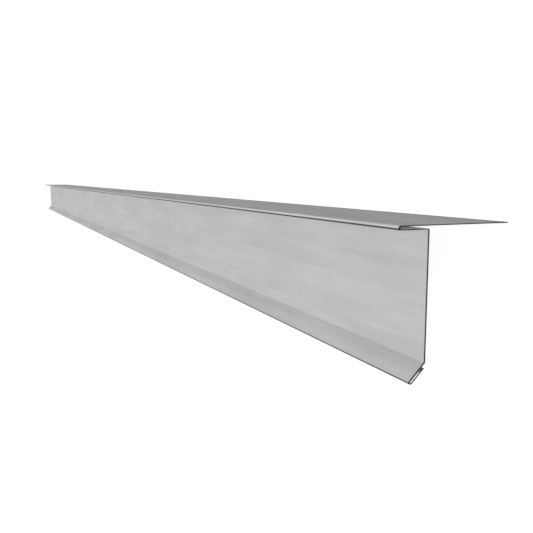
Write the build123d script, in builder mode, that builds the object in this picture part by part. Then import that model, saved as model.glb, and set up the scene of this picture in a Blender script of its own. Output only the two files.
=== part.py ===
from build123d import *
from math import asin, atan2, cos, degrees, hypot, radians, sin, tan
import os

# A drip edge: one galvanised steel sheet, folded along its whole length.
# Seen from its near end, with the roof on the right and the outdoors on the left, the section runs from
# the flange that lies on the roof deck, through the hemmed nose that stands out over the gutter, back to
# the face that covers the fascia board, and down to the kick that throws the water clear, with its hem.

# Driving dimensions, in millimetres
stock_length = 3048.0     # a ten foot length
sheet_thickness = 0.70
flange_width = 101.6      # over all, from the front of the nose to the flange's free edge
nose_reach = 27.0         # from the fascia board to the front of the nose
nose_gap = 2.1            # clear space between the two leaves of the nose
face_height = 101.6       # from the sheet's fold under the nose to the kick's fold, sharp corners
kick_width = 20.3         # from the kick's fold, as a sharp corner, to the edge of its hem
kick_slope = 45.0         # degrees that the kick turns outwards from the face
hem_width = 16.7          # from the edge of the hem to the free edge of its leaf
hem_gap = 1.7             # clear space inside the kick's hem
bend_radius = 1.0         # inside radius of the two open bends

# What follows from them, along the middle of the sheet
half_sheet = sheet_thickness / 2
nose_fold = (nose_gap + sheet_thickness) / 2
hem_fold = (hem_gap + sheet_thickness) / 2
bend = bend_radius + half_sheet

# Heights and distances in the section, from the corner where the roof deck meets the fascia board
flange_level = half_sheet
leaf_level = flange_level - 2 * nose_fold
face_line = -half_sheet
nose_centre_x = half_sheet + nose_fold - nose_reach
flange_end = flange_width - nose_reach
kick_corner = Vector(face_line, leaf_level - face_height)

# Directions down the kick and square to it, towards the house
down_kick = Vector(-sin(radians(kick_slope)), -cos(radians(kick_slope)))
behind_kick = Vector(cos(radians(kick_slope)), -sin(radians(kick_slope)))
kick_straight = kick_width - half_sheet - hem_fold
hem_straight = hem_width - half_sheet - hem_fold
hem_centre = kick_corner + down_kick * kick_straight + behind_kick * hem_fold

# Unheld, the length lies like a tent: on the flange's free edge, and on the lowest of the rounded edge of
# the kick's hem, the free edge of the hem's leaf and the back of the bend above them.
hem_radius = hem_fold + half_sheet
hem_free_edge = hem_centre + behind_kick * hem_radius - down_kick * hem_straight
kick_trim = bend * tan(radians(kick_slope) / 2)
lower_bend_centre = kick_corner + Vector(-bend, kick_trim)
lower_bend_radius = bend + half_sheet


def turn_to_level(point, radius=0.0):
    """The turn that brings a rounded edge, or a sharp one, level with the flange's free edge."""
    across = flange_end - point.X
    down = -point.Y
    return atan2(down, across) + asin(radius / hypot(across, down))


rest_turn = max(
    turn_to_level(hem_centre, hem_radius),
    turn_to_level(hem_free_edge),
    turn_to_level(lower_bend_centre, lower_bend_radius),
)

# Where the section's own corner stands once it has turned, with the tent on the floor and centred
drop = flange_end * sin(rest_turn)
right_side = flange_end * cos(rest_turn) + sheet_thickness * sin(rest_turn)
left_side = hem_centre.X * cos(rest_turn) + hem_centre.Y * sin(rest_turn) - hem_radius
middle = (left_side + right_side) / 2

section_plane = Plane(
    origin=(-middle, 0, drop),
    x_dir=(cos(rest_turn), 0, -sin(rest_turn)),
    z_dir=(0, -1, 0),
)

with BuildPart() as drip_edge:
    with BuildSketch(section_plane) as section:
        with BuildLine() as sheet:
            # The flange and the nose's fold
            flange = Line((flange_end, flange_level), (nose_centre_x, flange_level))
            nose = JernArc(flange @ 1, flange % 1, nose_fold, 180)
            # The nose's lower leaf, the bend behind it and the face
            leaf = Line(nose @ 1, (face_line - bend, leaf_level))
            upper_bend = JernArc(leaf @ 1, leaf % 1, bend, -90)
            face = Line(upper_bend @ 1, kick_corner + Vector(0, kick_trim))
            # The kick, and its hem folded back behind it
            lower_bend = JernArc(face @ 1, face % 1, bend, -kick_slope)
            kick = Line(lower_bend @ 1, kick_corner + down_kick * kick_straight)
            hem = JernArc(kick @ 1, kick % 1, hem_fold, 180)
            Line(hem @ 1, (hem @ 1) - down_kick * hem_straight)
        trace(line_width=sheet_thickness)
    extrude(amount=stock_length / 2, both=True)

drip_edge.part.label = "drip_edge"

sheet_width = sum(edge.length for edge in sheet.line.edges())
print("turned by", round(degrees(rest_turn), 3), "degrees to lie at rest")
print("width of flat sheet before folding", round(sheet_width, 2), "mm")

os.makedirs("parts", exist_ok=True)
export_step(drip_edge.part, "parts/drip_edge.step")
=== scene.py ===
"""A length of galvanised drip edge, lying like a tent on a pale studio floor."""

from math import atan2, cos, pi, radians, sin, tan

import bpy
from mathutils import Matrix, Vector


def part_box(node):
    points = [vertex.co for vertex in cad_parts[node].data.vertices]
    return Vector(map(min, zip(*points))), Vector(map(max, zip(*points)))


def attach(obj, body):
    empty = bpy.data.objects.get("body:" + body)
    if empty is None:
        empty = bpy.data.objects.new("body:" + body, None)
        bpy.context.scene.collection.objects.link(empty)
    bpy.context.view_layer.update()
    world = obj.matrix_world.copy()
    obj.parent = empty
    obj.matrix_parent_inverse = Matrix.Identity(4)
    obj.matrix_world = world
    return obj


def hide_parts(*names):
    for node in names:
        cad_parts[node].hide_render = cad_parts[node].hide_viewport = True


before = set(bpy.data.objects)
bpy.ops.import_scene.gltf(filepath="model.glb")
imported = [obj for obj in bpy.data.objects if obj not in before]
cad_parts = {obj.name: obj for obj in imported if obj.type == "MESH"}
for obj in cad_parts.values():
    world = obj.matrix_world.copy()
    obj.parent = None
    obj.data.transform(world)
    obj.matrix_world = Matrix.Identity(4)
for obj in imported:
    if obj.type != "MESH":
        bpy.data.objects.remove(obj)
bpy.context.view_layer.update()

# Sizes of the folded sheet, in metres, as in the solid
sheet_thickness = 0.0007
flange_width = 0.1016
nose_reach = 0.027
nose_gap = 0.0021
face_height = 0.1016
kick_width = 0.0203
kick_slope = radians(45)
hem_width = 0.0167
hem_gap = 0.0017
bend_radius = 0.001

# What follows from them, along the middle of the sheet
half_sheet = sheet_thickness / 2
nose_fold = (nose_gap + sheet_thickness) / 2
hem_fold = (hem_gap + sheet_thickness) / 2
bend = bend_radius + half_sheet

node_low, node_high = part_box("drip_edge")
near_end = node_low.y
length = node_high.y - near_end

# How finely the sheet is made, how long the strip with the fringe at each cut end is, and how far the
# corners of the cut edges are taken off
arc_step = radians(7.5)
flat_step = 0.012
length_step = 0.06
fringe_strip = 0.005
edge_round = 0.00007

# The sheet's map, in pixels of a picture 1024 pixels wide: what its small parts get
map_pixel = 1 / 1024
slit_pixels = 3         # each step round a slit edge
corner_pixels = 4       # the corner taken off at each cut end
fringe_pixels = 20      # the strip with the fringe, beside that corner
margin_pixels = 16      # the strip at each side of the map
cap_pixels = (1, 11)    # the flat of a cut end, within that strip

# The camera, in the axes of a fitted length: across towards the roof, along from the near end, and up
camera_across = -0.2985
camera_along = -0.3879
camera_up = 0.0349
camera_yaw = radians(23.35)
camera_pitch = radians(-7.836)
focal_pixels = 644.9
picture_pixels = 533
sensor_width = 36.0

# The light: white all round, and one soft lamp from behind the camera, in the same axes
ambient = 0.335
key_share = 1.10
key_towards = (-0.6, -0.8, 0.06)
key_softness = radians(6)

# The floor: its paint, and how much of a plain glow takes its place where it is seen directly
floor_reach = 60.0
floor_grey = 0.8
floor_glow = 1.12
glow_share = 0.75

white = (1, 1, 1, 1)


def left_of(ahead):
    return Vector((-ahead.y, ahead.x))


class Folding:
    """A pen that folds the middle line of the sheet, flat by flat and bend by bend.

    Each point is (place, ahead, across): its place in the section, the direction the pen goes there, and
    its distance across the flat sheet."""

    def __init__(self, start, heading):
        self.place = Vector(start)
        self.heading = heading
        self.across = 0.0
        self.points = []
        self.folds = []
        self.mark()

    def ahead(self):
        return Vector((cos(self.heading), sin(self.heading)))

    def mark(self):
        self.points.append((self.place.copy(), self.ahead(), self.across))

    def flat(self, width):
        steps = max(1, round(width / flat_step))
        for _ in range(steps):
            self.place += self.ahead() * (width / steps)
            self.across += width / steps
            self.mark()

    def fold(self, radius, turn):
        """Turns left by a positive angle and right by a negative one."""
        side = 1 if turn > 0 else -1
        centre = self.place + left_of(self.ahead()) * radius * side
        steps = max(2, round(abs(turn) / arc_step))
        start = self.across
        for _ in range(steps):
            self.heading += turn / steps
            self.place = centre - left_of(self.ahead()) * radius * side
            self.across += radius * abs(turn) / steps
            self.mark()
        self.folds.append((start, self.across))


def fold_sheet():
    """The middle line, from the flange's free edge to the hem's.

    Places are measured from the corner where the roof deck meets the fascia board."""
    flange_end = flange_width - nose_reach
    nose_centre = half_sheet + nose_fold - nose_reach
    kick_trim = bend * tan(kick_slope / 2)
    pen = Folding((flange_end, half_sheet), pi)
    pen.flat(flange_end - nose_centre)
    pen.fold(nose_fold, pi)
    pen.flat(-half_sheet - bend - nose_centre)
    pen.fold(bend, -pi / 2)
    pen.flat(face_height - bend - kick_trim)
    pen.fold(bend, -kick_slope)
    pen.flat(kick_width - half_sheet - hem_fold - kick_trim)
    pen.fold(hem_fold, pi)
    pen.flat(hem_width - half_sheet - hem_fold)
    return pen


class Resting:
    """The section's pose as it lies: turned, standing on its two free edges and placed as the solid is."""

    def __init__(self, points):
        flange_edge, flange_ahead, _ = points[0]
        hem_edge, hem_ahead, _ = points[-1]
        flange_foot = flange_edge + left_of(flange_ahead) * half_sheet
        flange_top = flange_edge - left_of(flange_ahead) * half_sheet
        hem_foot = hem_edge - left_of(hem_ahead) * half_sheet
        self.turn = atan2(flange_foot.y - hem_foot.y, flange_foot.x - hem_foot.x)
        self.middle = 0.0
        self.drop = 0.0
        self.middle = node_high.x - self.place(flange_top).x
        self.drop = node_low.z - self.place(flange_foot).z

    def direction(self, across, along, up):
        turned_across = across * cos(self.turn) + up * sin(self.turn)
        turned_up = up * cos(self.turn) - across * sin(self.turn)
        return Vector((turned_across, along, turned_up))

    def place(self, point, along=0.0):
        return self.direction(point.x, along, point.y) + Vector((self.middle, 0, self.drop))


def section_rim(points):
    """The section's outline, as corners: place, step inwards, normal, place across the flat sheet and side.

    It goes down the outer side of the sheet, round a slit edge, back up the inner side and round the other
    slit edge. Each slit edge has its two corners cut off at 45 degrees."""
    slant = tan(radians(45) / 2)
    last = len(points) - 1
    rim = []
    for side in (-1, 1):
        run = range(last + 1)[::-side]
        for index in run:
            place, ahead, across = points[index]
            facing = left_of(ahead) * side
            surface = place + facing * half_sheet
            if 0 < index < last:
                rim.append((surface, -facing, facing, across, side))
                continue
            out = -ahead if index == 0 else ahead
            flat_end = (surface - out * edge_round, -facing - out * slant, facing, across, side)
            slit_end = (surface - facing * edge_round, -out - facing * slant, out, across, side)
            rim += [slit_end, flat_end] if index == run[0] else [flat_end, slit_end]
    return rim


def sheet_stations():
    """Places along the length, with how far the outline steps in at each."""
    steps = round(length / length_step)
    inner = [length * i / steps for i in range(1, steps)]
    stations = [(0.0, edge_round), (edge_round, 0.0), (fringe_strip, 0.0)]
    stations += [(station, 0.0) for station in inner]
    stations += [(length - fringe_strip, 0.0), (length - edge_round, 0.0), (length, edge_round)]
    return stations


def sheet_points(rim, stations, pose):
    """The mesh's points, ring by ring along the length: places, normals, and places on the flat sheet."""
    places = []
    normals = []
    flats = []
    for station, inset in stations:
        for spot, inwards, facing, across, side in rim:
            places.append(pose.place(spot + inwards * inset, near_end + station))
            if inset:
                normals.append(Vector((0, -1 if station == 0 else 1, 0)))
            else:
                normals.append(pose.direction(facing.x, 0, facing.y))
            flats.append((across, station, side * half_sheet))
    return places, normals, flats


def map_places(widths, given, low, high):
    """Places on the map from low to high, for steps of these widths.

    A step whose index is in given is as wide as given says. The others share the rest to one scale."""
    free = sum(width for i, width in enumerate(widths) if i not in given)
    scale = (high - low - sum(given.values())) / free
    places = [low]
    for i, width in enumerate(widths):
        places.append(places[-1] + given.get(i, width * scale))
    places[-1] = high
    return places


def sheet_faces(rim, stations):
    """The mesh's faces, their corners' places on the map, and whether each is part of a cut edge.

    The map runs along the length one way and round the section the other. The small steps at the cut ends
    and the slit edges are widened on it, and a strip at each side holds the flat of a cut end."""
    ring = len(rim)
    half_ring = ring // 2
    last = len(stations) - 1
    slit_steps = (0, half_ring - 2, half_ring - 1, half_ring, ring - 2, ring - 1)
    corner_width = corner_pixels * map_pixel
    fringe_width = fringe_pixels * map_pixel
    margin = margin_pixels * map_pixel
    along_gaps = [b[0] - a[0] for a, b in zip(stations, stations[1:])]
    round_gaps = [(b[0] - a[0]).length for a, b in zip(rim, rim[1:] + rim[:1])]
    end_widths = {0: corner_width, 1: fringe_width, last - 2: fringe_width, last - 1: corner_width}
    slit_widths = {step: slit_pixels * map_pixel for step in slit_steps}
    u = map_places(along_gaps, end_widths, margin, 1 - margin)
    v = map_places(round_gaps, slit_widths, 0.0, 1.0)

    faces = []
    corners = []
    cut = []
    for s in range(last):
        near = s * ring
        far = near + ring
        for i in range(ring):
            j = (i + 1) % ring
            faces.append((near + i, far + i, far + j, near + j))
            corners += [(u[s], v[i]), (u[s + 1], v[i]), (u[s + 1], v[i + 1]), (u[s], v[i + 1])]
            cut.append(s in (0, last - 1) or i in slit_steps)

    # The flat of each cut end, in strips from one side of the sheet to the other
    end = last * ring
    left, right = (pixels * map_pixel for pixels in cap_pixels)
    for i in range(half_ring - 1):
        a, b, c, d = i, i + 1, ring - 2 - i, ring - 1 - i
        low, high = v[a] / v[half_ring - 1], v[b] / v[half_ring - 1]
        faces.append((a, b, c, d))
        corners += [(left, low), (left, high), (right, high), (right, low)]
        faces.append((end + a, end + d, end + c, end + b))
        corners += [(1 - left, low), (1 - right, low), (1 - right, high), (1 - left, high)]
        cut += [True, True]
    return faces, corners, cut


def make_sheet(points, pose):
    """The sheet as a closed mesh, with its two cut ends and two slit edges in the second material."""
    rim = section_rim(points)
    stations = sheet_stations()
    places, normals, flats = sheet_points(rim, stations, pose)
    faces, corners, cut = sheet_faces(rim, stations)
    mesh = bpy.data.meshes.new("drip_edge_sheet")
    mesh.from_pydata(places, [], faces)
    for polygon, is_cut in zip(mesh.polygons, cut):
        polygon.use_smooth = True
        polygon.material_index = 1 if is_cut else 0
    flat_place = mesh.attributes.new("flat_place", "FLOAT_VECTOR", "POINT")
    flat_place.data.foreach_set("vector", [value for flat in flats for value in flat])
    bake_map = mesh.uv_layers.new(name="OFBake")
    bake_map.uv.foreach_set("vector", [value for corner in corners for value in corner])
    mesh.normals_split_custom_set_from_vertices(normals)
    piece = bpy.data.objects.new("drip_edge_sheet", mesh)
    bpy.context.scene.collection.objects.link(piece)
    return piece


class Nodes:
    """Short forms for building the nodes of a material or of the world."""

    def __init__(self, owner, output_kind="ShaderNodeOutputMaterial"):
        owner.use_nodes = True
        self.owner = owner
        self.tree = owner.node_tree
        self.tree.nodes.clear()
        self.output = self.tree.nodes.new(output_kind)

    def add(self, kind, inputs=(), **settings):
        node = self.tree.nodes.new(kind)
        for name, value in settings.items():
            setattr(node, name, value)
        for name, value in dict(inputs).items():
            if isinstance(value, bpy.types.NodeSocket):
                self.tree.links.new(value, node.inputs[name])
            else:
                node.inputs[name].default_value = value
        return node

    def show(self, shader):
        """Ends the tree with this shader, and gives the material or world back."""
        self.tree.links.new(shader.outputs[0], self.output.inputs[0])
        return self.owner

    def maths(self, operation, a, b=0.0):
        return self.add("ShaderNodeMath", {0: a, 1: b}, operation=operation).outputs[0]

    def spread(self, value, low, high, start=0.0, end=1.0, smooth=False):
        """A value that runs from start to end, spread to run from low to high."""
        kind = "SMOOTHSTEP" if smooth else "LINEAR"
        inputs = {"Value": value, "From Min": start, "From Max": end, "To Min": low, "To Max": high}
        return self.add("ShaderNodeMapRange", inputs, interpolation_type=kind).outputs[0]

    def grey(self, value):
        return self.add("ShaderNodeCombineColor", {0: value, 1: value, 2: value}).outputs[0]

    def flat_place(self):
        """Each point's place on the flat sheet: across it, along it, and through its thickness."""
        return self.add("ShaderNodeAttribute", attribute_name="flat_place").outputs["Vector"]

    def noise(self, spot, scale, detail=2.0, rough=0.5):
        """A noise with its own scale across the flat sheet, along it and through its thickness."""
        scaled = self.add("ShaderNodeVectorMath", {0: spot, 1: scale}, operation="MULTIPLY").outputs[0]
        inputs = {"Vector": scaled, "Scale": 1.0, "Detail": detail, "Roughness": rough}
        return self.add("ShaderNodeTexNoise", inputs).outputs["Fac"]

    def seen_directly(self):
        """1 for rays that show the surface as it looks: from the camera, in a gloss or through glass."""
        path = self.add("ShaderNodeLightPath")
        seen = self.maths("MAXIMUM", path.outputs["Is Camera Ray"], path.outputs["Is Glossy Ray"])
        return self.maths("MAXIMUM", seen, path.outputs["Is Transmission Ray"])


def galvanised(folds, sheet_width):
    """Zinc-coated sheet: a matte grey, with faint rolling streaks, clouds and fine spangle.

    The folds get a painted highlight where they stand out and painted shade along their lower edges, and
    the kick painted shade just below its bend and painted light towards its hem. Painted light brightens
    the inside of the nose and the hem, and painted shade runs as a dark outline along the slit edges and
    the cut ends."""
    m = Nodes(bpy.data.materials.new("galvanised_sheet"))
    place = m.flat_place()
    across, along, side = m.add("ShaderNodeSeparateXYZ", {0: place}).outputs
    inside = m.maths("GREATER_THAN", side, 0.0)
    outside = m.maths("SUBTRACT", 1.0, inside)

    def noise(spot, across_size, along_size, **settings):
        """A noise whose features have these sizes across the flat sheet and along it, in metres."""
        return m.noise(spot, (1 / across_size, 1 / along_size, 1 / across_size), **settings)

    def band(start, end, fade, where):
        """1 between two places across the sheet, on one side of it, with soft edges."""
        away = m.maths("ABSOLUTE", m.maths("SUBTRACT", across, (start + end) / 2))
        reach = (end - start) / 2
        within = m.spread(away, 1.0, 0.0, reach - fade / 2, reach + fade / 2, smooth=True)
        return m.maths("MULTIPLY", within, where)

    def fringe(distance, whole, reach):
        """1 at both edges of the whole width or length, gone at this reach from them."""
        away = m.maths("MINIMUM", distance, m.maths("SUBTRACT", whole, distance))
        return m.spread(away, 1.0, 0.0, reach * 0.3, reach, smooth=True)

    # What the rolls and the zinc bath left: streaks that wander a little, clouds, fine lines and spangle
    wander = m.spread(noise(place, 0.08, 0.4, detail=1.0), -0.012, 0.012)
    strayed = m.maths("ADD", across, wander)
    wandering = m.add("ShaderNodeCombineXYZ", {0: strayed, 1: along, 2: side}).outputs[0]
    streaks = noise(wandering, 0.008, 0.12, detail=3.0, rough=0.55)
    clouds = noise(wandering, 0.035, 0.22, detail=4.0)
    rolling = noise(place, 0.012, 1.0, detail=4.0, rough=0.6)
    lines = noise(place, 0.0006, 0.03)
    grain = noise(place, 0.0009, 0.0016)
    spangle_per_metre = 420.0
    cells = m.add("ShaderNodeTexVoronoi", {"Vector": place, "Scale": spangle_per_metre, "Randomness": 1.0})
    spangle = m.add("ShaderNodeSeparateColor", {"Color": cells.outputs["Color"]}).outputs[0]

    tone = m.spread(streaks, 0.88, 1.12)
    for pattern, depth in ((clouds, 0.15), (rolling, 0.06), (spangle, 0.022), (lines, 0.03)):
        tone = m.maths("ADD", tone, m.spread(pattern, -depth, depth))

    nose_start, nose_end = folds[0]
    kick_start = folds[2][1]
    hem_start, hem_end = folds[3]
    nose_arc = nose_end - nose_start
    hem_arc = hem_end - hem_start

    # How much brighter or darker each mark makes the zinc: all of them are painted light or painted shade
    nose_painted_highlight = 1.12
    kick_painted_light = 1.07
    kick_painted_shade = 0.96
    hollow_painted_light = 1.7
    fold_painted_shade = 0.15
    slit_painted_shade = 0.2
    outer_end_painted_shade = 0.08
    inner_end_painted_shade = 0.2

    marks = (
        # The nose: a painted highlight in front, painted shade along its lower side, and painted light
        # between its leaves
        (band(nose_start + 0.05 * nose_arc, nose_start + 0.5 * nose_arc, 0.0006, outside), nose_painted_highlight),
        (band(nose_start + 0.55 * nose_arc, nose_end + 0.0012, 0.0006, outside), fold_painted_shade),
        (band(nose_start - 0.022, nose_end + 0.022, 0.003, inside), hollow_painted_light),
        # The kick: painted shade just below its bend, and painted light towards its hem
        (band(kick_start - 0.001, kick_start + 0.002, 0.003, outside), kick_painted_shade),
        (band(hem_start - 0.006, hem_start, 0.010, outside), kick_painted_light),
        # The hem: painted shade round its edge, and painted light inside
        (band(hem_start + 0.20 * hem_arc, hem_start + 0.75 * hem_arc, 0.0004, outside), fold_painted_shade),
        (band(hem_start - 0.016, sheet_width + 0.01, 0.003, inside), hollow_painted_light),
        # The slit edges and the cut ends: painted shade, as a dark outline along them
        (fringe(across, sheet_width, 0.007), slit_painted_shade),
        (m.maths("MULTIPLY", fringe(along, length, 0.0014), outside), outer_end_painted_shade),
        (m.maths("MULTIPLY", fringe(along, length, 0.0009), inside), inner_end_painted_shade),
    )
    for mark, tint in marks:
        tone = m.maths("MULTIPLY", tone, m.spread(mark, 1.0, tint))

    zinc_grey = 0.53
    roughness = m.maths("ADD", m.spread(spangle, 0.52, 0.68), m.spread(clouds, -0.04, 0.04))
    bump = m.add("ShaderNodeBump", {"Strength": 0.12, "Distance": 0.0002, "Height": grain})
    return m.show(m.add("ShaderNodeBsdfPrincipled", {
        "Base Color": m.grey(m.maths("MULTIPLY", tone, zinc_grey)),
        "Metallic": 0.25,
        "Roughness": roughness,
        "Specular IOR Level": 0.0,
        "Specular Tint": (0.15, 0.15, 0.15, 1),
        "Normal": bump.outputs[0],
    }))


def sheared():
    """Bare steel where the sheet was cut, painted very dark as a dark outline of shade, with fine marks
    through its thickness.
    """
    m = Nodes(bpy.data.materials.new("sheared_steel_painted_dark"))
    marks = m.noise(m.flat_place(), (2500.0, 2500.0, 300.0))
    return m.show(m.add("ShaderNodeBsdfPrincipled", {
        "Base Color": m.grey(m.spread(marks, 0.01, 0.03)),
        "Metallic": 0.3,
        "Roughness": 0.5,
        "Specular IOR Level": 0.05,
    }))


def make_floor():
    """A pale floor that looks as white as the backdrop and still keeps the shadow."""
    low = -floor_reach
    high = floor_reach
    mesh = bpy.data.meshes.new("floor")
    mesh.from_pydata([(low, low, 0), (high, low, 0), (high, high, 0), (low, high, 0)], [], [(0, 1, 2, 3)])
    floor = bpy.data.objects.new("floor", mesh)
    bpy.context.scene.collection.objects.link(floor)
    m = Nodes(bpy.data.materials.new("pale_floor"))
    paint = m.add("ShaderNodeBsdfDiffuse", {"Color": (floor_grey, floor_grey, floor_grey, 1)}).outputs[0]
    glow = m.add("ShaderNodeEmission", {"Color": white, "Strength": floor_glow}).outputs[0]
    look = m.add("ShaderNodeMixShader", {"Fac": glow_share, 1: paint, 2: glow}).outputs[0]
    either = m.add("ShaderNodeMixShader", {"Fac": m.seen_directly(), 1: paint, 2: look})
    mesh.materials.append(m.show(either))


def make_world():
    """White all round, at the ambient level for the light it gives and at full white where it is seen."""
    world = bpy.data.worlds.new("studio")
    bpy.context.scene.world = world
    m = Nodes(world, "ShaderNodeOutputWorld")
    strength = m.spread(m.seen_directly(), ambient, 1.0)
    m.show(m.add("ShaderNodeBackground", {"Color": white, "Strength": strength}))


def make_key(pose):
    lamp = bpy.data.lights.new("key", "SUN")
    lamp.energy = key_share * pi
    lamp.angle = key_softness
    key = bpy.data.objects.new("key", lamp)
    key.rotation_mode = "QUATERNION"
    key.rotation_quaternion = pose.direction(*key_towards).to_track_quat("Z", "Y")
    bpy.context.scene.collection.objects.link(key)


def make_camera(pose):
    data = bpy.data.cameras.new("camera")
    data.sensor_width = sensor_width
    data.lens = focal_pixels / picture_pixels * sensor_width
    data.clip_start = 0.01
    camera = bpy.data.objects.new("camera", data)
    bpy.context.scene.collection.objects.link(camera)
    level = cos(camera_pitch)
    ahead = pose.direction(level * sin(camera_yaw), level * cos(camera_yaw), sin(camera_pitch))
    right = pose.direction(cos(camera_yaw), -sin(camera_yaw), 0)
    up = right.cross(ahead)
    camera.matrix_world = Matrix((right, up, -ahead)).transposed().to_4x4()
    camera.location = pose.place(Vector((camera_across, camera_up)), near_end + camera_along)
    bpy.context.scene.camera = camera


middle_line = fold_sheet()
resting = Resting(middle_line.points)
make_camera(resting)
make_floor()
make_world()
make_key(resting)

sheet = make_sheet(middle_line.points, resting)
sheet.data.materials.append(galvanised(middle_line.folds, middle_line.across))
sheet.data.materials.append(sheared())
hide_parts("drip_edge")
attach(sheet, "root")

bpy.context.scene.view_settings.view_transform = "Standard"
